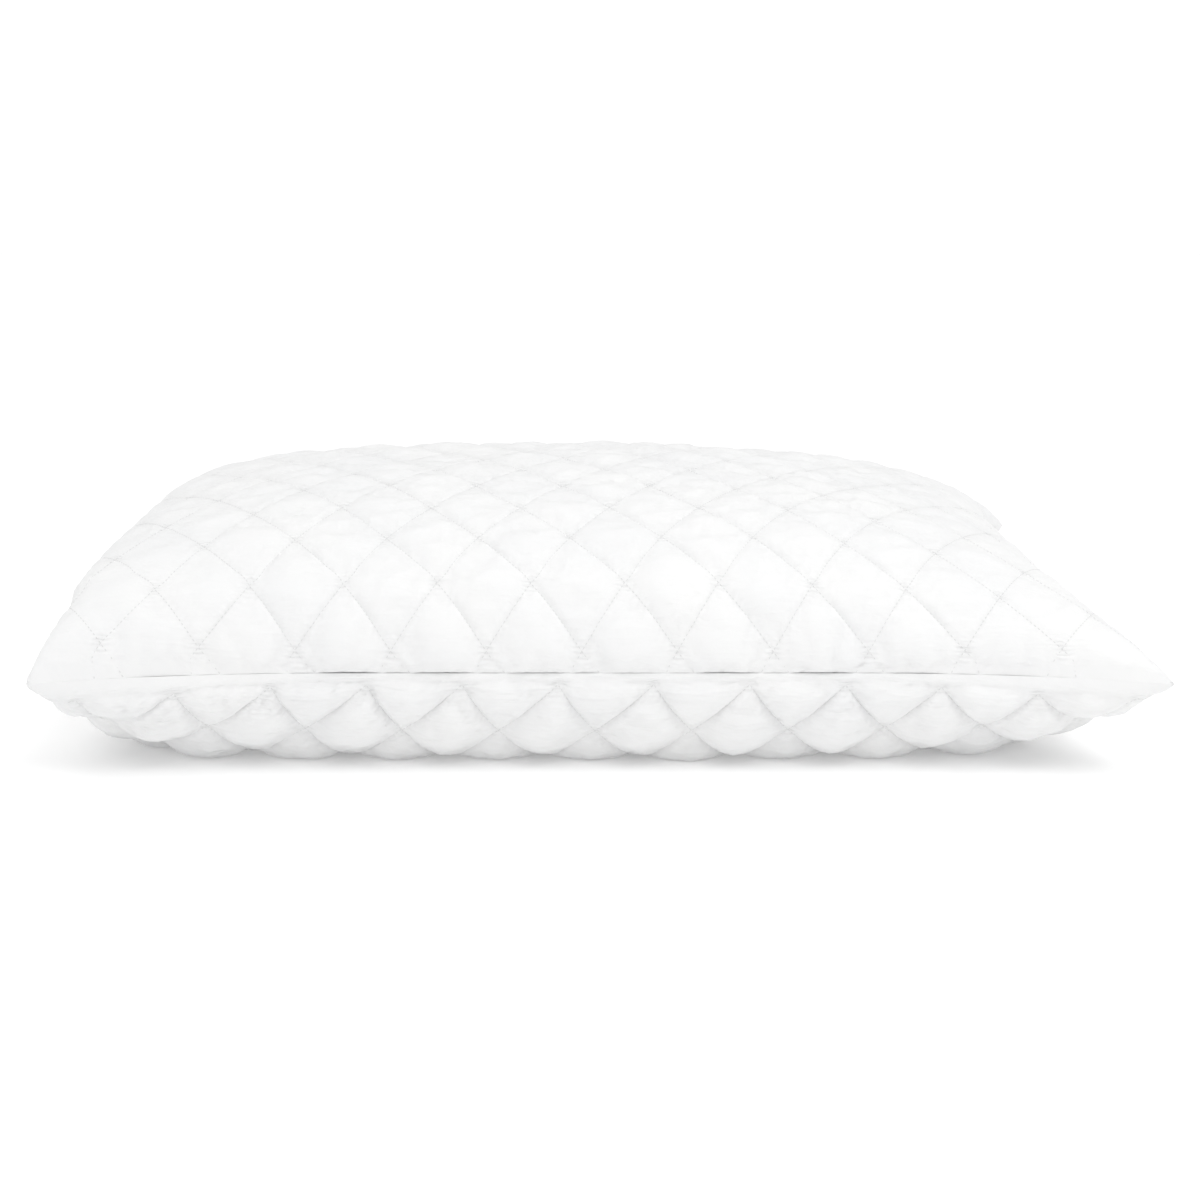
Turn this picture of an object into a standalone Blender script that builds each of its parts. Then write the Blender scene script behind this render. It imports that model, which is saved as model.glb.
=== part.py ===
"""A bed pillow lying flat: an inner pillow of fibre inside a zipped cover of quilted cotton.

Metres, +Z up. The origin is on the floor under the middle of the pillow. The long sides run
along X, the front is -Y, and the zip is sewn into the -X side.

Every soft layer is the same pillow surface, moved in by its own depth: u runs from -1 to 1
along X and v from -1 to 1 along Y, and the four seams are u = -1, u = 1, v = -1 and v = 1.
"""
import math

import bmesh
import bpy
from mathutils import Vector

# Outer size of the stuffed pillow
LENGTH = 0.640  # corner to corner along X
WIDTH = 0.493  # corner to corner along Y
CORNER_HEIGHT = 0.0593  # the four corners above the floor
CROWN = 0.0945  # the top's highest point above the corners
BELLY = 0.105  # how far the underside would hang below the corners if no floor held it up

# How far each side is pulled in and lifted between its two corners
FRONT_PULL, FRONT_LIFT = 0.019, 0.0015
BACK_PULL, BACK_LIFT = 0.024, 0.012
LEFT_PULL, LEFT_LIFT = 0.012, 0.018
RIGHT_PULL, RIGHT_LIFT = 0.042, 0.010
LONG_SIDE_FLAT, LONG_SIDE_POWER = 0.45, 2.2
LEFT_FLAT, LEFT_POWER = 0.76, 1.8  # the zip keeps this side straight between its ends
RIGHT_FLAT, RIGHT_POWER = 0.10, 2.6

# Fullness of the top and the underside towards each side, as superellipse powers
TOP_LEFT, TOP_RIGHT, TOP_FRONT, TOP_BACK = 3.3, 2.5, 2.4, 2.3
UNDER_LEFT, UNDER_RIGHT, UNDER_ENDS = 3.8, 3.0, 2.1

# Where the layers are cut into facets, from the middle of a side to its corner
U_HALF = (0.15, 0.3, 0.45, 0.6, 0.72, 0.82, 0.9, 0.95, 0.985, 1.0)
V_HALF = (0.2, 0.4, 0.6, 0.76, 0.88, 0.94, 0.98, 1.0)

# Depth of each layer's outer and inner face below the outside of the cover
GAP = 0.0003
FACE_DEPTHS = (0.0, 0.0006)
WADDING_DEPTHS = (0.0009, 0.0040)
LINING_DEPTHS = (0.0043, 0.0048)
CASING_DEPTHS = (0.0055, 0.0060)
FILL_DEPTH = 0.0064
CASING_INSET = 0.0110  # the inner pillow stays this much further back from the cover's seam

# Seams: from and to, measured in from the outline, and thickness
BINDING_FROM, BINDING_TO, BINDING_THICK = 0.0065, 0.0120, 0.0010
CASING_SEAM_FROM, CASING_SEAM_TO, CASING_SEAM_THICK = 0.0132, 0.0160, 0.0014

# Zip: places are along Y, depths are in from the cover's outside
SLOT = 0.0080  # height of the opening between the two panels
SLOT_END = 0.88  # v where the opening has closed again
CHAIN_END = 0.1745  # the chain runs from -CHAIN_END to CHAIN_END
CHAIN_DEPTHS = (0.0036, 0.0059)
CHAIN_FROM, CHAIN_TO = 0.00045, 0.0024  # each row of teeth, above or below the middle
STOP_LENGTH = 0.0026
TAPE_END = 0.1925
TAPE_DEPTHS = (0.0062, 0.0068)
TAPE_FROM, TAPE_TO = 0.0007, 0.0095
SLIDER_LENGTH = 0.0090
SLIDER_REST = -CHAIN_END + SLIDER_LENGTH / 2
SLIDER_HALF_HEIGHT, BACK_PLATE_HALF_HEIGHT = 0.0034, 0.0031
PLATE_DEPTHS = (0.0012, 0.0032)
BACK_PLATE_DEPTHS = (0.0072, 0.0086)
FLANGE_TO = 0.0053
POST_HALF = 0.00025
CROWN_HALF_LENGTH, CROWN_HALF_HEIGHT, CROWN_BAR, CROWN_BEVEL = 0.0030, 0.0008, 0.0007, 0.0005
CROWN_SUNK = 0.0004  # how far its feet run into the outer plate
CROWN_TOP = -0.0011  # depth of the crown's outer face, which stands proud of the cover
PIVOT_DEPTH = 0.0004
PULLER_LENGTH, PULLER_HALF_HEIGHT, PULLER_THICK = 0.0185, 0.0025, 0.0010
PULLER_HOLE_END, PULLER_HOLE_HALF, PULLER_TIP_RADIUS = 0.0044, 0.0013, 0.0018

# Care label, sewn into the back seam
LABEL_X, LABEL_WIDTH, LABEL_DROP, LABEL_THICK = -0.115, 0.032, 0.038, 0.0008
LABEL_BELOW_SEAM, LABEL_CLEAR = 0.0010, 0.0009  # where its top hangs, down and out from the seam
LABEL_FLARE = 0.0040  # how much further out its foot stands

HALF_X, HALF_Y = LENGTH / 2, WIDTH / 2
ZIP_X = -HALF_X + LEFT_PULL
ZIP_Z = CORNER_HEIGHT + LEFT_LIFT

WHITE_COTTON = (0.90, 0.90, 0.89)
LINING_WHITE = (0.86, 0.86, 0.85)
FIBRE_WHITE = (0.93, 0.93, 0.92)
ZIP_WHITE = (0.84, 0.84, 0.83)
ZIP_METAL = (0.62, 0.62, 0.63)


def clear_scene():
    for obj in list(bpy.data.objects):
        bpy.data.objects.remove(obj, do_unlink=True)


def material(name, colour, roughness, metallic=0.0):
    made = bpy.data.materials.new(name)
    made.use_nodes = True
    shader = made.node_tree.nodes["Principled BSDF"]
    shader.inputs["Base Color"].default_value = (*colour, 1.0)
    shader.inputs["Roughness"].default_value = roughness
    shader.inputs["Metallic"].default_value = metallic
    return made


def add_object(name, bm, colour, roughness, metallic=0.0):
    """One named object of its own material from a finished bmesh."""
    bmesh.ops.recalc_face_normals(bm, faces=bm.faces)
    if bm.calc_volume(signed=True) < 0:
        bmesh.ops.reverse_faces(bm, faces=bm.faces)
    mesh = bpy.data.meshes.new(name)
    bm.to_mesh(mesh)
    bm.free()
    mesh.materials.append(material(name + "_material", colour, roughness, metallic))
    obj = bpy.data.objects.new(name, mesh)
    bpy.context.scene.collection.objects.link(obj)
    return obj


# ---------------------------------------------------------------- the pillow's surface


def ease(t, flat, power):
    """1 along the straight middle of a side, falling to 0 at its two corners."""
    past = max(0.0, (abs(t) - flat) / (1.0 - flat))
    return 1.0 - past**power


def middle_point(u, v, inset):
    """The surface on which the top and the underside meet, which carries all four seams."""
    long_side = ease(u, LONG_SIDE_FLAT, LONG_SIDE_POWER)
    left_side = ease(v, LEFT_FLAT, LEFT_POWER)
    right_side = ease(v, RIGHT_FLAT, RIGHT_POWER)
    left = -HALF_X + inset + LEFT_PULL * left_side
    right = HALF_X - inset - RIGHT_PULL * right_side
    front = -HALF_Y + inset + FRONT_PULL * long_side
    back = HALF_Y - inset - BACK_PULL * long_side
    x = left * (1 - u) / 2 + right * (1 + u) / 2
    y = front * (1 - v) / 2 + back * (1 + v) / 2
    long_lift = (FRONT_LIFT * (1 - v) / 2 + BACK_LIFT * (1 + v) / 2) * long_side
    short_lift = LEFT_LIFT * left_side * (1 - u) / 2 + RIGHT_LIFT * right_side * (1 + u) / 2
    z = CORNER_HEIGHT + long_lift * v * v + short_lift * abs(u) ** 3
    return x, y, z


def fullness(t, power):
    return max(0.0, 1.0 - abs(t) ** power) ** (1.0 / power)


def slot_half(u, v):
    """Half the gap between the two panels: a hair's breadth, and the zip's opening at the left."""
    open_share = min(1.0, max(0.0, (SLOT_END - abs(v)) / (SLOT_END - LEFT_FLAT)))
    near_zip = max(0.0, -u) ** 8
    return GAP / 2 + (SLOT - GAP) / 2 * open_share * near_zip


def top_point(u, v, inset, depth):
    x, y, z = middle_point(u, v, inset)
    share = fullness(u, TOP_LEFT if u < 0 else TOP_RIGHT)
    share *= fullness(v, TOP_FRONT if v < 0 else TOP_BACK)
    rise = CORNER_HEIGHT + CROWN - depth - z
    return Vector((x, y, z + slot_half(u, v) + rise * share))


def under_point(u, v, inset, depth):
    x, y, z = middle_point(u, v, inset)
    share = fullness(u, UNDER_LEFT if u < 0 else UNDER_RIGHT) * fullness(v, UNDER_ENDS)
    drop = BELLY + z - CORNER_HEIGHT - depth
    return Vector((x, y, max(depth, z - slot_half(u, v) - drop * share)))


def both_halves(half):
    return [-t for t in reversed(half)] + [0.0] + list(half)


U_LINES, V_LINES = both_halves(U_HALF), both_halves(V_HALF)


def add_skin(bm, point, inset, depth):
    """One face of a layer: a grid of vertices, each cell cut by the diagonal that points at a corner."""
    grid = [[bm.verts.new(point(u, v, inset, depth)) for u in U_LINES] for v in V_LINES]
    for row, (low, high) in enumerate(zip(grid, grid[1:])):
        for i in range(len(low) - 1):
            a, b, c, d = low[i], low[i + 1], high[i + 1], high[i]
            if (U_LINES[i] < 0) == (V_LINES[row] < 0):
                bm.faces.new((a, b, c))
                bm.faces.new((a, c, d))
            else:
                bm.faces.new((a, b, d))
                bm.faces.new((b, c, d))
    return grid


def rim(grid):
    """The grid's outline in order, once round."""
    front, back = grid[0], grid[-1]
    right = [row[-1] for row in grid[1:-1]]
    left = [row[0] for row in grid[1:-1]]
    return front + right + back[::-1] + left[::-1]


def add_layer(name, point, depths, extra_inset, colour, roughness):
    """A sheet of the cover or the casing: an outer skin, an inner skin and the edge between."""
    bm = bmesh.new()
    rims = [rim(add_skin(bm, point, depth + extra_inset, depth)) for depth in depths]
    outer, inner = rims
    for i in range(len(outer)):
        j = (i + 1) % len(outer)
        bm.faces.new((outer[i], outer[j], inner[j], inner[i]))
    return add_object(name, bm, colour, roughness)


def add_fill():
    """The fibre: a top and an underside that share one outline."""
    bm = bmesh.new()
    inset = FILL_DEPTH + CASING_INSET
    top = rim(add_skin(bm, top_point, inset, FILL_DEPTH))
    under = rim(add_skin(bm, under_point, inset, FILL_DEPTH))
    for i in range(len(top)):
        j = (i + 1) % len(top)
        bm.faces.new((top[i], top[j], under[j], under[i]))
    return add_object("fibre_fill", bm, FIBRE_WHITE, 0.95)


# ---------------------------------------------------------------- seams and label


def side_stations():
    """(u, v) round the outline, from the front left corner to the back left corner."""
    front = [(u, -1.0) for u in U_LINES]
    right = [(1.0, v) for v in V_LINES[1:-1]]
    back = [(u, 1.0) for u in reversed(U_LINES)]
    return front + right + back


def add_strip(name, stations, closed, near, far, thick, colour):
    """A flat strip that follows the seam, from near to far inside the outline."""
    bm = bmesh.new()
    loops = []
    for u, v in stations:
        corners = []
        for inset, lift in ((near, -1), (far, -1), (far, 1), (near, 1)):
            x, y, z = middle_point(u, v, inset)
            corners.append(bm.verts.new((x, y, z + lift * thick / 2)))
        loops.append(corners)
    if closed:
        loops.append(loops[0])
    for here, there in zip(loops, loops[1:]):
        for i in range(4):
            j = (i + 1) % 4
            bm.faces.new((here[i], here[j], there[j], there[i]))
    if not closed:
        bm.faces.new(loops[0])
        bm.faces.new(loops[-1])
    return add_object(name, bm, colour, 0.85)


def add_seams():
    three_sides = side_stations()
    all_sides = three_sides + [(-1.0, v) for v in reversed(V_LINES[1:-1])]
    add_strip("cover_seam_binding", three_sides, False, BINDING_FROM, BINDING_TO, BINDING_THICK, ZIP_WHITE)
    add_strip(
        "casing_seam", all_sides, True, CASING_SEAM_FROM, CASING_SEAM_TO, CASING_SEAM_THICK, LINING_WHITE
    )


def add_label():
    """A blank folded label that hangs from the back seam, its foot standing a little off."""
    bm = bmesh.new()
    u = LABEL_X / HALF_X
    _, seam_y, seam_z = middle_point(u, 1.0, 0.0)
    steps = 4
    loops = []
    for step in range(steps + 1):
        share = step / steps
        near = seam_y + LABEL_CLEAR + LABEL_FLARE * share**2
        z = seam_z - LABEL_BELOW_SEAM - LABEL_DROP * share
        loops.append(
            [
                bm.verts.new((LABEL_X + side * LABEL_WIDTH / 2, near + off, z))
                for side, off in ((-1, 0), (1, 0), (1, LABEL_THICK), (-1, LABEL_THICK))
            ]
        )
    for here, there in zip(loops, loops[1:]):
        for i in range(4):
            j = (i + 1) % 4
            bm.faces.new((here[i], here[j], there[j], there[i]))
    bm.faces.new(loops[0])
    bm.faces.new(loops[-1])
    return add_object("care_label", bm, ZIP_WHITE, 0.6)


# ---------------------------------------------------------------- zip


def add_prism(bm, outline, low, high):
    """Adds a closed prism: the same outline, of flat vectors, at low and at high."""
    base = [bm.verts.new(low + point) for point in outline]
    lid = [bm.verts.new(high + point) for point in outline]
    for i in range(len(outline)):
        j = (i + 1) % len(outline)
        bm.faces.new((base[i], base[j], lid[j], lid[i]))
    bm.faces.new(base)
    bm.faces.new(lid)


def add_bar(name, depths, heights, ends, colour, roughness, metallic=0.0):
    """A straight bar along the zip, given by its depths, its heights and its two ends."""
    bm = bmesh.new()
    corners = zip(depths + depths[::-1], sorted(heights * 2))
    outline = [Vector((ZIP_X + depth, 0, ZIP_Z + height)) for depth, height in corners]
    add_prism(bm, outline, Vector((0, ends[0], 0)), Vector((0, ends[1], 0)))
    return add_object(name, bm, colour, roughness, metallic)


def add_zip_rows():
    stop_ends = (-CHAIN_END - GAP - STOP_LENGTH, -CHAIN_END - GAP)
    for word, side in (("upper", 1), ("lower", -1)):
        chain_heights = (side * CHAIN_FROM, side * CHAIN_TO)
        tape_heights = (side * TAPE_FROM, side * TAPE_TO)
        add_bar(f"zip_tape_{word}", TAPE_DEPTHS, tape_heights, (-TAPE_END, TAPE_END), ZIP_WHITE, 0.85)
        add_bar(f"zip_teeth_{word}", CHAIN_DEPTHS, chain_heights, (-CHAIN_END, CHAIN_END), ZIP_WHITE, 0.4)
        add_bar(f"zip_top_stop_{word}", CHAIN_DEPTHS, chain_heights, stop_ends, ZIP_METAL, 0.35, 1.0)
    bottom_ends = (CHAIN_END + GAP, CHAIN_END + GAP + STOP_LENGTH)
    add_bar("zip_bottom_stop", CHAIN_DEPTHS, (-CHAIN_TO, CHAIN_TO), bottom_ends, ZIP_METAL, 0.35, 1.0)


def slider_outline():
    """The slider's section across the zip: two plates joined by a post, the outer one with flanges."""
    tall = SLIDER_HALF_HEIGHT
    flange = CHAIN_TO + GAP
    upper = [
        (BACK_PLATE_DEPTHS[1], BACK_PLATE_HALF_HEIGHT),
        (BACK_PLATE_DEPTHS[0], BACK_PLATE_HALF_HEIGHT),
        (BACK_PLATE_DEPTHS[0], POST_HALF),
        (PLATE_DEPTHS[1], POST_HALF),
        (PLATE_DEPTHS[1], flange),
        (FLANGE_TO, flange),
        (FLANGE_TO, tall),
        (PLATE_DEPTHS[0], tall),
    ]
    lower = [(depth, -height) for depth, height in reversed(upper)]
    return [Vector((depth, 0, height)) for depth, height in upper + lower]


def crown_outline():
    """The strap over the puller's bar, seen across the zip, as one arch standing on the plate."""
    foot = PLATE_DEPTHS[0] + CROWN_SUNK
    long, bar, bevel = CROWN_HALF_LENGTH, CROWN_BAR, CROWN_BEVEL
    outer = [(foot, -long), (CROWN_TOP + bevel, -long), (CROWN_TOP, -long + bevel)]
    outer += [(CROWN_TOP, long - bevel), (CROWN_TOP + bevel, long), (foot, long)]
    inner = [(foot, long - bar), (CROWN_TOP + bar, long - bar)]
    inner += [(CROWN_TOP + bar, -long + bar), (foot, -long + bar)]
    return [Vector((depth, along, 0)) for depth, along in outer + inner]


def joined(name, meshes, colour, roughness, metallic):
    """Unions the bmeshes into one solid object."""
    parts = [add_object(f"{name}_{i}", bm, colour, roughness, metallic) for i, bm in enumerate(meshes)]
    whole = parts[0]
    for other in parts[1:]:
        union = whole.modifiers.new("union", "BOOLEAN")
        union.operation = "UNION"
        union.solver = "EXACT"
        union.object = other
        other.hide_render = True
        other.display_type = "WIRE"
    whole.name = name
    return whole


def add_slider():
    """Origin on the chain's middle line, at the outside of the cover."""
    body, crown = bmesh.new(), bmesh.new()
    half = SLIDER_LENGTH / 2
    add_prism(body, slider_outline(), Vector((0, -half, 0)), Vector((0, half, 0)))
    add_prism(crown, crown_outline(), Vector((0, 0, -CROWN_HALF_HEIGHT)), Vector((0, 0, CROWN_HALF_HEIGHT)))
    slider = joined("zip_slider", (body, crown), ZIP_METAL, 0.3, 1.0)
    place = Vector((ZIP_X, SLIDER_REST, ZIP_Z))
    slider.location = place
    for modifier in slider.modifiers:
        modifier.object.location = place
    return slider


def puller_ring():
    """The puller's outline and its hole, seen from outside: (along the zip, height)."""
    tall, bar = PULLER_HALF_HEIGHT, PULLER_THICK / 2
    along, height = PULLER_LENGTH - PULLER_TIP_RADIUS, tall - PULLER_TIP_RADIUS
    tip = []
    for step in range(5):
        angle = math.pi / 2 * step / 4
        tip.append(
            (
                along + PULLER_TIP_RADIUS * math.sin(angle),
                height + PULLER_TIP_RADIUS * math.cos(angle),
            )
        )
    outer = [(-bar, -tall), (-bar, tall)] + tip + [(along, -height) for along, height in reversed(tip)]
    hole = [(bar, -PULLER_HOLE_HALF), (PULLER_HOLE_END, -PULLER_HOLE_HALF)]
    hole += [(PULLER_HOLE_END, PULLER_HOLE_HALF), (bar, PULLER_HOLE_HALF)]
    return outer, hole


def add_puller():
    """A flat tab with a square eye. Its origin is on the hinge axis, through the eye's end bar."""
    outer, hole = puller_ring()
    half = PULLER_THICK / 2
    tab, cutter_mesh = bmesh.new(), bmesh.new()
    add_prism(tab, [Vector((0, a, h)) for a, h in outer], Vector((-half, 0, 0)), Vector((half, 0, 0)))
    through = Vector((2 * half, 0, 0))
    add_prism(cutter_mesh, [Vector((0, a, h)) for a, h in hole], -through, through)
    puller = add_object("zip_puller", tab, ZIP_METAL, 0.3, 1.0)
    cutter = add_object("zip_puller_eye_cutter", cutter_mesh, ZIP_METAL, 0.3)
    cutter.hide_render = True
    cutter.display_type = "WIRE"
    cut = puller.modifiers.new("eye", "BOOLEAN")
    cut.operation = "DIFFERENCE"
    cut.solver = "EXACT"
    cut.object = cutter
    for obj in (puller, cutter):
        obj.location = (ZIP_X + PIVOT_DEPTH, SLIDER_REST, ZIP_Z)
    return puller


# ---------------------------------------------------------------- the whole pillow


def add_cover():
    for side, point in (("top", top_point), ("bottom", under_point)):
        add_layer(f"cover_{side}_face", point, FACE_DEPTHS, 0.0, WHITE_COTTON, 0.85)
        add_layer(f"cover_{side}_wadding", point, WADDING_DEPTHS, 0.0, FIBRE_WHITE, 0.95)
        add_layer(f"cover_{side}_lining", point, LINING_DEPTHS, 0.0, LINING_WHITE, 0.9)


def add_inner_pillow():
    for side, point in (("top", top_point), ("bottom", under_point)):
        add_layer(f"casing_{side}", point, CASING_DEPTHS, CASING_INSET, LINING_WHITE, 0.85)
    add_fill()


def main():
    clear_scene()
    add_cover()
    add_inner_pillow()
    add_seams()
    add_label()
    add_zip_rows()
    add_slider()
    add_puller()


main()
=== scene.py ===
"""The looks of a bed pillow in a zipped cover of quilted white cotton, lying on a pale floor.

The quilted panels are cloth: each is laid over the pillow's rounded shape, held along its
stitch lines and its seam, and blown up a little by a cloth simulation, so that every diamond
puffs and wrinkles by itself. Everything else is built in place round the CAD frame.
"""
import math

import bmesh
import bpy
import numpy as np
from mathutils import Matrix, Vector


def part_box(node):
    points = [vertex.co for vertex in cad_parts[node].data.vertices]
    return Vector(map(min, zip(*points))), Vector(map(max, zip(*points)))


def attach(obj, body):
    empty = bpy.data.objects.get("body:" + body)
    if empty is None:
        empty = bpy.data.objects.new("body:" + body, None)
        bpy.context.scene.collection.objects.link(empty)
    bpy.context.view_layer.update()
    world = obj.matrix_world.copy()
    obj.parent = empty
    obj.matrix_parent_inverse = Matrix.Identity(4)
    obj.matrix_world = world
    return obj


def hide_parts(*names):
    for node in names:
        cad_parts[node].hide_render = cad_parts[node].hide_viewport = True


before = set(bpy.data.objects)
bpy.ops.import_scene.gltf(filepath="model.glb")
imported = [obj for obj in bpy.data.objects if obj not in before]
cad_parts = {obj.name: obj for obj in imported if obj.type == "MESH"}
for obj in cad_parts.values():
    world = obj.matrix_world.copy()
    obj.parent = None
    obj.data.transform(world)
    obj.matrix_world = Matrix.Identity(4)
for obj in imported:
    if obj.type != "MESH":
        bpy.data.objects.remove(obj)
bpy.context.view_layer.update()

# ---------------------------------------------------------------- sizes

# Read from the frame
COVER_LOW, COVER_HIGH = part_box("cover_top_face")
HALF_X, HALF_Y = COVER_HIGH.x, COVER_HIGH.y
CORNER_HEIGHT = COVER_LOW.z
CROWN = COVER_HIGH.z - COVER_LOW.z
ZIP_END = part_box("zip_teeth_upper")[1].y

# The pillow's rounded shape, as the CAD covers have it
BELLY = 0.105
FRONT_PULL, FRONT_LIFT = 0.019, 0.0015
BACK_PULL, BACK_LIFT = 0.024, 0.012
LEFT_PULL, LEFT_LIFT = 0.012, 0.018
RIGHT_PULL, RIGHT_LIFT = 0.042, 0.010
LONG_SIDE_FLAT, LONG_SIDE_POWER = 0.45, 2.2
LEFT_FLAT, LEFT_POWER = 0.76, 1.8
RIGHT_FLAT, RIGHT_POWER = 0.10, 2.6
TOP_LEFT, TOP_RIGHT, TOP_FRONT, TOP_BACK = 3.3, 2.5, 2.4, 2.3
UNDER_LEFT, UNDER_RIGHT, UNDER_ENDS = 3.8, 3.0, 2.1
ZIP_X = -HALF_X + LEFT_PULL
ZIP_Z = CORNER_HEIGHT + LEFT_LIFT

# Quilting: how large a diamond is on the cloth, how finely it is meshed, and how far it puffs
DIAMONDS_ACROSS = 12
CELLS = 20  # mesh cells across one diamond, both ways
DIAMOND_WIDTH = 2 * HALF_X / DIAMONDS_ACROSS
TOP_DIAMOND, UNDER_DIAMOND = 0.084, 0.068  # lengths; the underside is drawn in by the pillow's weight
TOP_PHASE, UNDER_PHASE = (17, 3), (12, 2)  # the cell where the first crossing of the stitch lines lies
TOP_PUFF, UNDER_PUFF = 0.0040, 0.0074  # a diamond's middle above its stitch lines
SIDE_PUFF, SIDE_REACH = 0.45, 0.15  # the top is stretched taut over its sides, so it puffs less there
STITCH_DEPTH = 0.0050  # how far the stitch lines lie below the CAD cover's surface
PANEL_THICK = 0.0020
SEAM_TUCK = 0.0015  # between stitch lines, the top's edge rolls under this much at the seam
BAND_WIDTH, BAND_HEIGHT = 0.0050, 0.0011  # the smooth rounded edge of the underside, below the seam
ZIP_MARGIN = 0.0075  # the cloth beside the zip is sewn flat
EAR = 0.050  # puffs fade this near a corner
EAR_CREASE, EAR_CREASE_AT = 0.0022, 0.058  # the fold where an ear meets the stuffed body
EAR_CREASE_WIDTH, EAR_CREASE_START = 0.009, 0.010
TOP_CREASE = 0.35  # the fold's share on the top, where it is fainter
GATHER_HEIGHT, GATHER_WIDTH = 0.0009, 0.0026  # folds drawn up along the seam
GATHER_START, GATHER_REACH = 0.012, 0.022
GATHER_PATCH, GATHER_SMALL_PATCH, GATHER_DRIFT = 0.031, 0.013, 0.024
PUFF_START = 0.008  # puffs reach their full height this far in from the seam or the band
LEAST_FILLED, MOST_FILLED = 0.80, 1.12  # how much the diamonds differ in height
LEAST_TUCKED, MOST_TUCKED = 0.25, 1.15  # and in how far they draw the top's edge under
START_NOISE = 0.0001  # a little unevenness for the simulation to start from
FLOOR_CLEARANCE = 0.0003
REST_LIFT = 0.0035  # stitch lines over the floor, where puffs are pressed flat under them

# Cloth simulation
SIM_FRAMES = 16
TOP_PRESSURE, UNDER_PRESSURE = 6.5, 14.0
SPARE_CLOTH = 0.024  # how much more cloth there is than the shape needs
MOST_PUFF = 0.0085  # no point ends further than this from where the stitches hold the cloth

# Quilting thread
STITCH_PITCH, STITCH_HALF, THREAD_RADIUS = 0.0029, 0.00115, 0.00024

# The opening that shows the zip
SLOT = 0.0080
SLOT_CLOSED, SLOT_RAMP = 0.785, 0.022  # where along the side it has closed, and over how much

# ---------------------------------------------------------------- shape


def ease(t, flat, power):
    """1 along the straight middle of a side, falling to 0 at its two corners."""
    return 1.0 - np.clip((np.abs(t) - flat) / (1.0 - flat), 0.0, 1.0) ** power


def fullness(t, power):
    return np.clip(1.0 - np.abs(t) ** power, 0.0, 1.0) ** (1.0 / power)


def middle(u, v, inset=0.0):
    """The surface that carries all four seams, for u and v from -1 to 1."""
    long_side = ease(u, LONG_SIDE_FLAT, LONG_SIDE_POWER)
    left_side = ease(v, LEFT_FLAT, LEFT_POWER)
    right_side = ease(v, RIGHT_FLAT, RIGHT_POWER)
    left = -HALF_X + inset + LEFT_PULL * left_side
    right = HALF_X - inset - RIGHT_PULL * right_side
    front = -HALF_Y + inset + FRONT_PULL * long_side
    back = HALF_Y - inset - BACK_PULL * long_side
    x = left * (1 - u) / 2 + right * (1 + u) / 2
    y = front * (1 - v) / 2 + back * (1 + v) / 2
    long_lift = (FRONT_LIFT * (1 - v) / 2 + BACK_LIFT * (1 + v) / 2) * long_side
    short_lift = LEFT_LIFT * left_side * (1 - u) / 2 + RIGHT_LIFT * right_side * (1 + u) / 2
    z = CORNER_HEIGHT + long_lift * v * v + short_lift * np.abs(u) ** 3
    return x, y, z


def unevenness(x, y):
    """Shallow dents and swells of a stuffed pillow, in metres."""
    long_waves = np.sin(23 * x + 9 * y + 0.6) + np.sin(31 * y - 14 * x + 2.1)
    return 0.0007 * long_waves + 0.0004 * np.sin(47 * x - 38 * y + 4.0)


def slot_half(u, v):
    """Half the opening between the panels, where the zip is."""
    share = np.clip((SLOT_CLOSED - np.abs(v)) / SLOT_RAMP, 0.0, 1.0)
    return SLOT / 2 * share**2 * (3 - 2 * share) * np.clip(-u, 0.0, 1.0) ** 8


def top_surface(u, v, depth=STITCH_DEPTH, inset=0.0, slot=1.0):
    x, y, z = middle(u, v, inset)
    share = fullness(u, np.where(u < 0, TOP_LEFT, TOP_RIGHT))
    share = share * fullness(v, np.where(v < 0, TOP_FRONT, TOP_BACK))
    rise = CORNER_HEIGHT + CROWN - depth - z + unevenness(x, y)
    return np.stack([x, y, z + slot * slot_half(u, v) + rise * share], -1)


def under_surface(u, v, depth=STITCH_DEPTH, inset=0.0, slot=1.0):
    x, y, z = middle(u, v, inset)
    share = fullness(u, np.where(u < 0, UNDER_LEFT, UNDER_RIGHT)) * fullness(v, UNDER_ENDS)
    drop = BELLY + z - CORNER_HEIGHT - depth
    edge = z - slot * slot_half(u, v)
    low = edge - drop * share
    rest = REST_LIFT + depth - STITCH_DEPTH
    over, soft = low - rest, 0.004
    rounding = soft / 4 * np.exp(-((np.maximum(over, 0.0) / 0.015) ** 2))
    low = rest + (over + np.sqrt(over**2 + soft**2)) / 2 - rounding
    return np.stack([x, y, np.where(share > 0, np.minimum(low, edge), edge)], -1)


def evenly(surface, u, v, shares):
    """Places along a line drawn on the surface, from shares (-1 to 1) of its length."""
    points = surface(u, v)
    run = np.concatenate([[0.0], np.cumsum(np.linalg.norm(np.diff(points, axis=0), axis=1))])
    moves = u if u[-1] > u[0] else v
    return np.interp(shares, -1.0 + 2.0 * run / run[-1], moves), run[-1]


def finer_at_ends(count):
    """Places of the mesh lines in cells, with closer ones beside the two seams."""
    near = [0.0, 0.35, 0.7, 1.0, 1.5]
    return np.array(near + list(range(2, count - 1)) + [count - t for t in reversed(near)], float)


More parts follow.
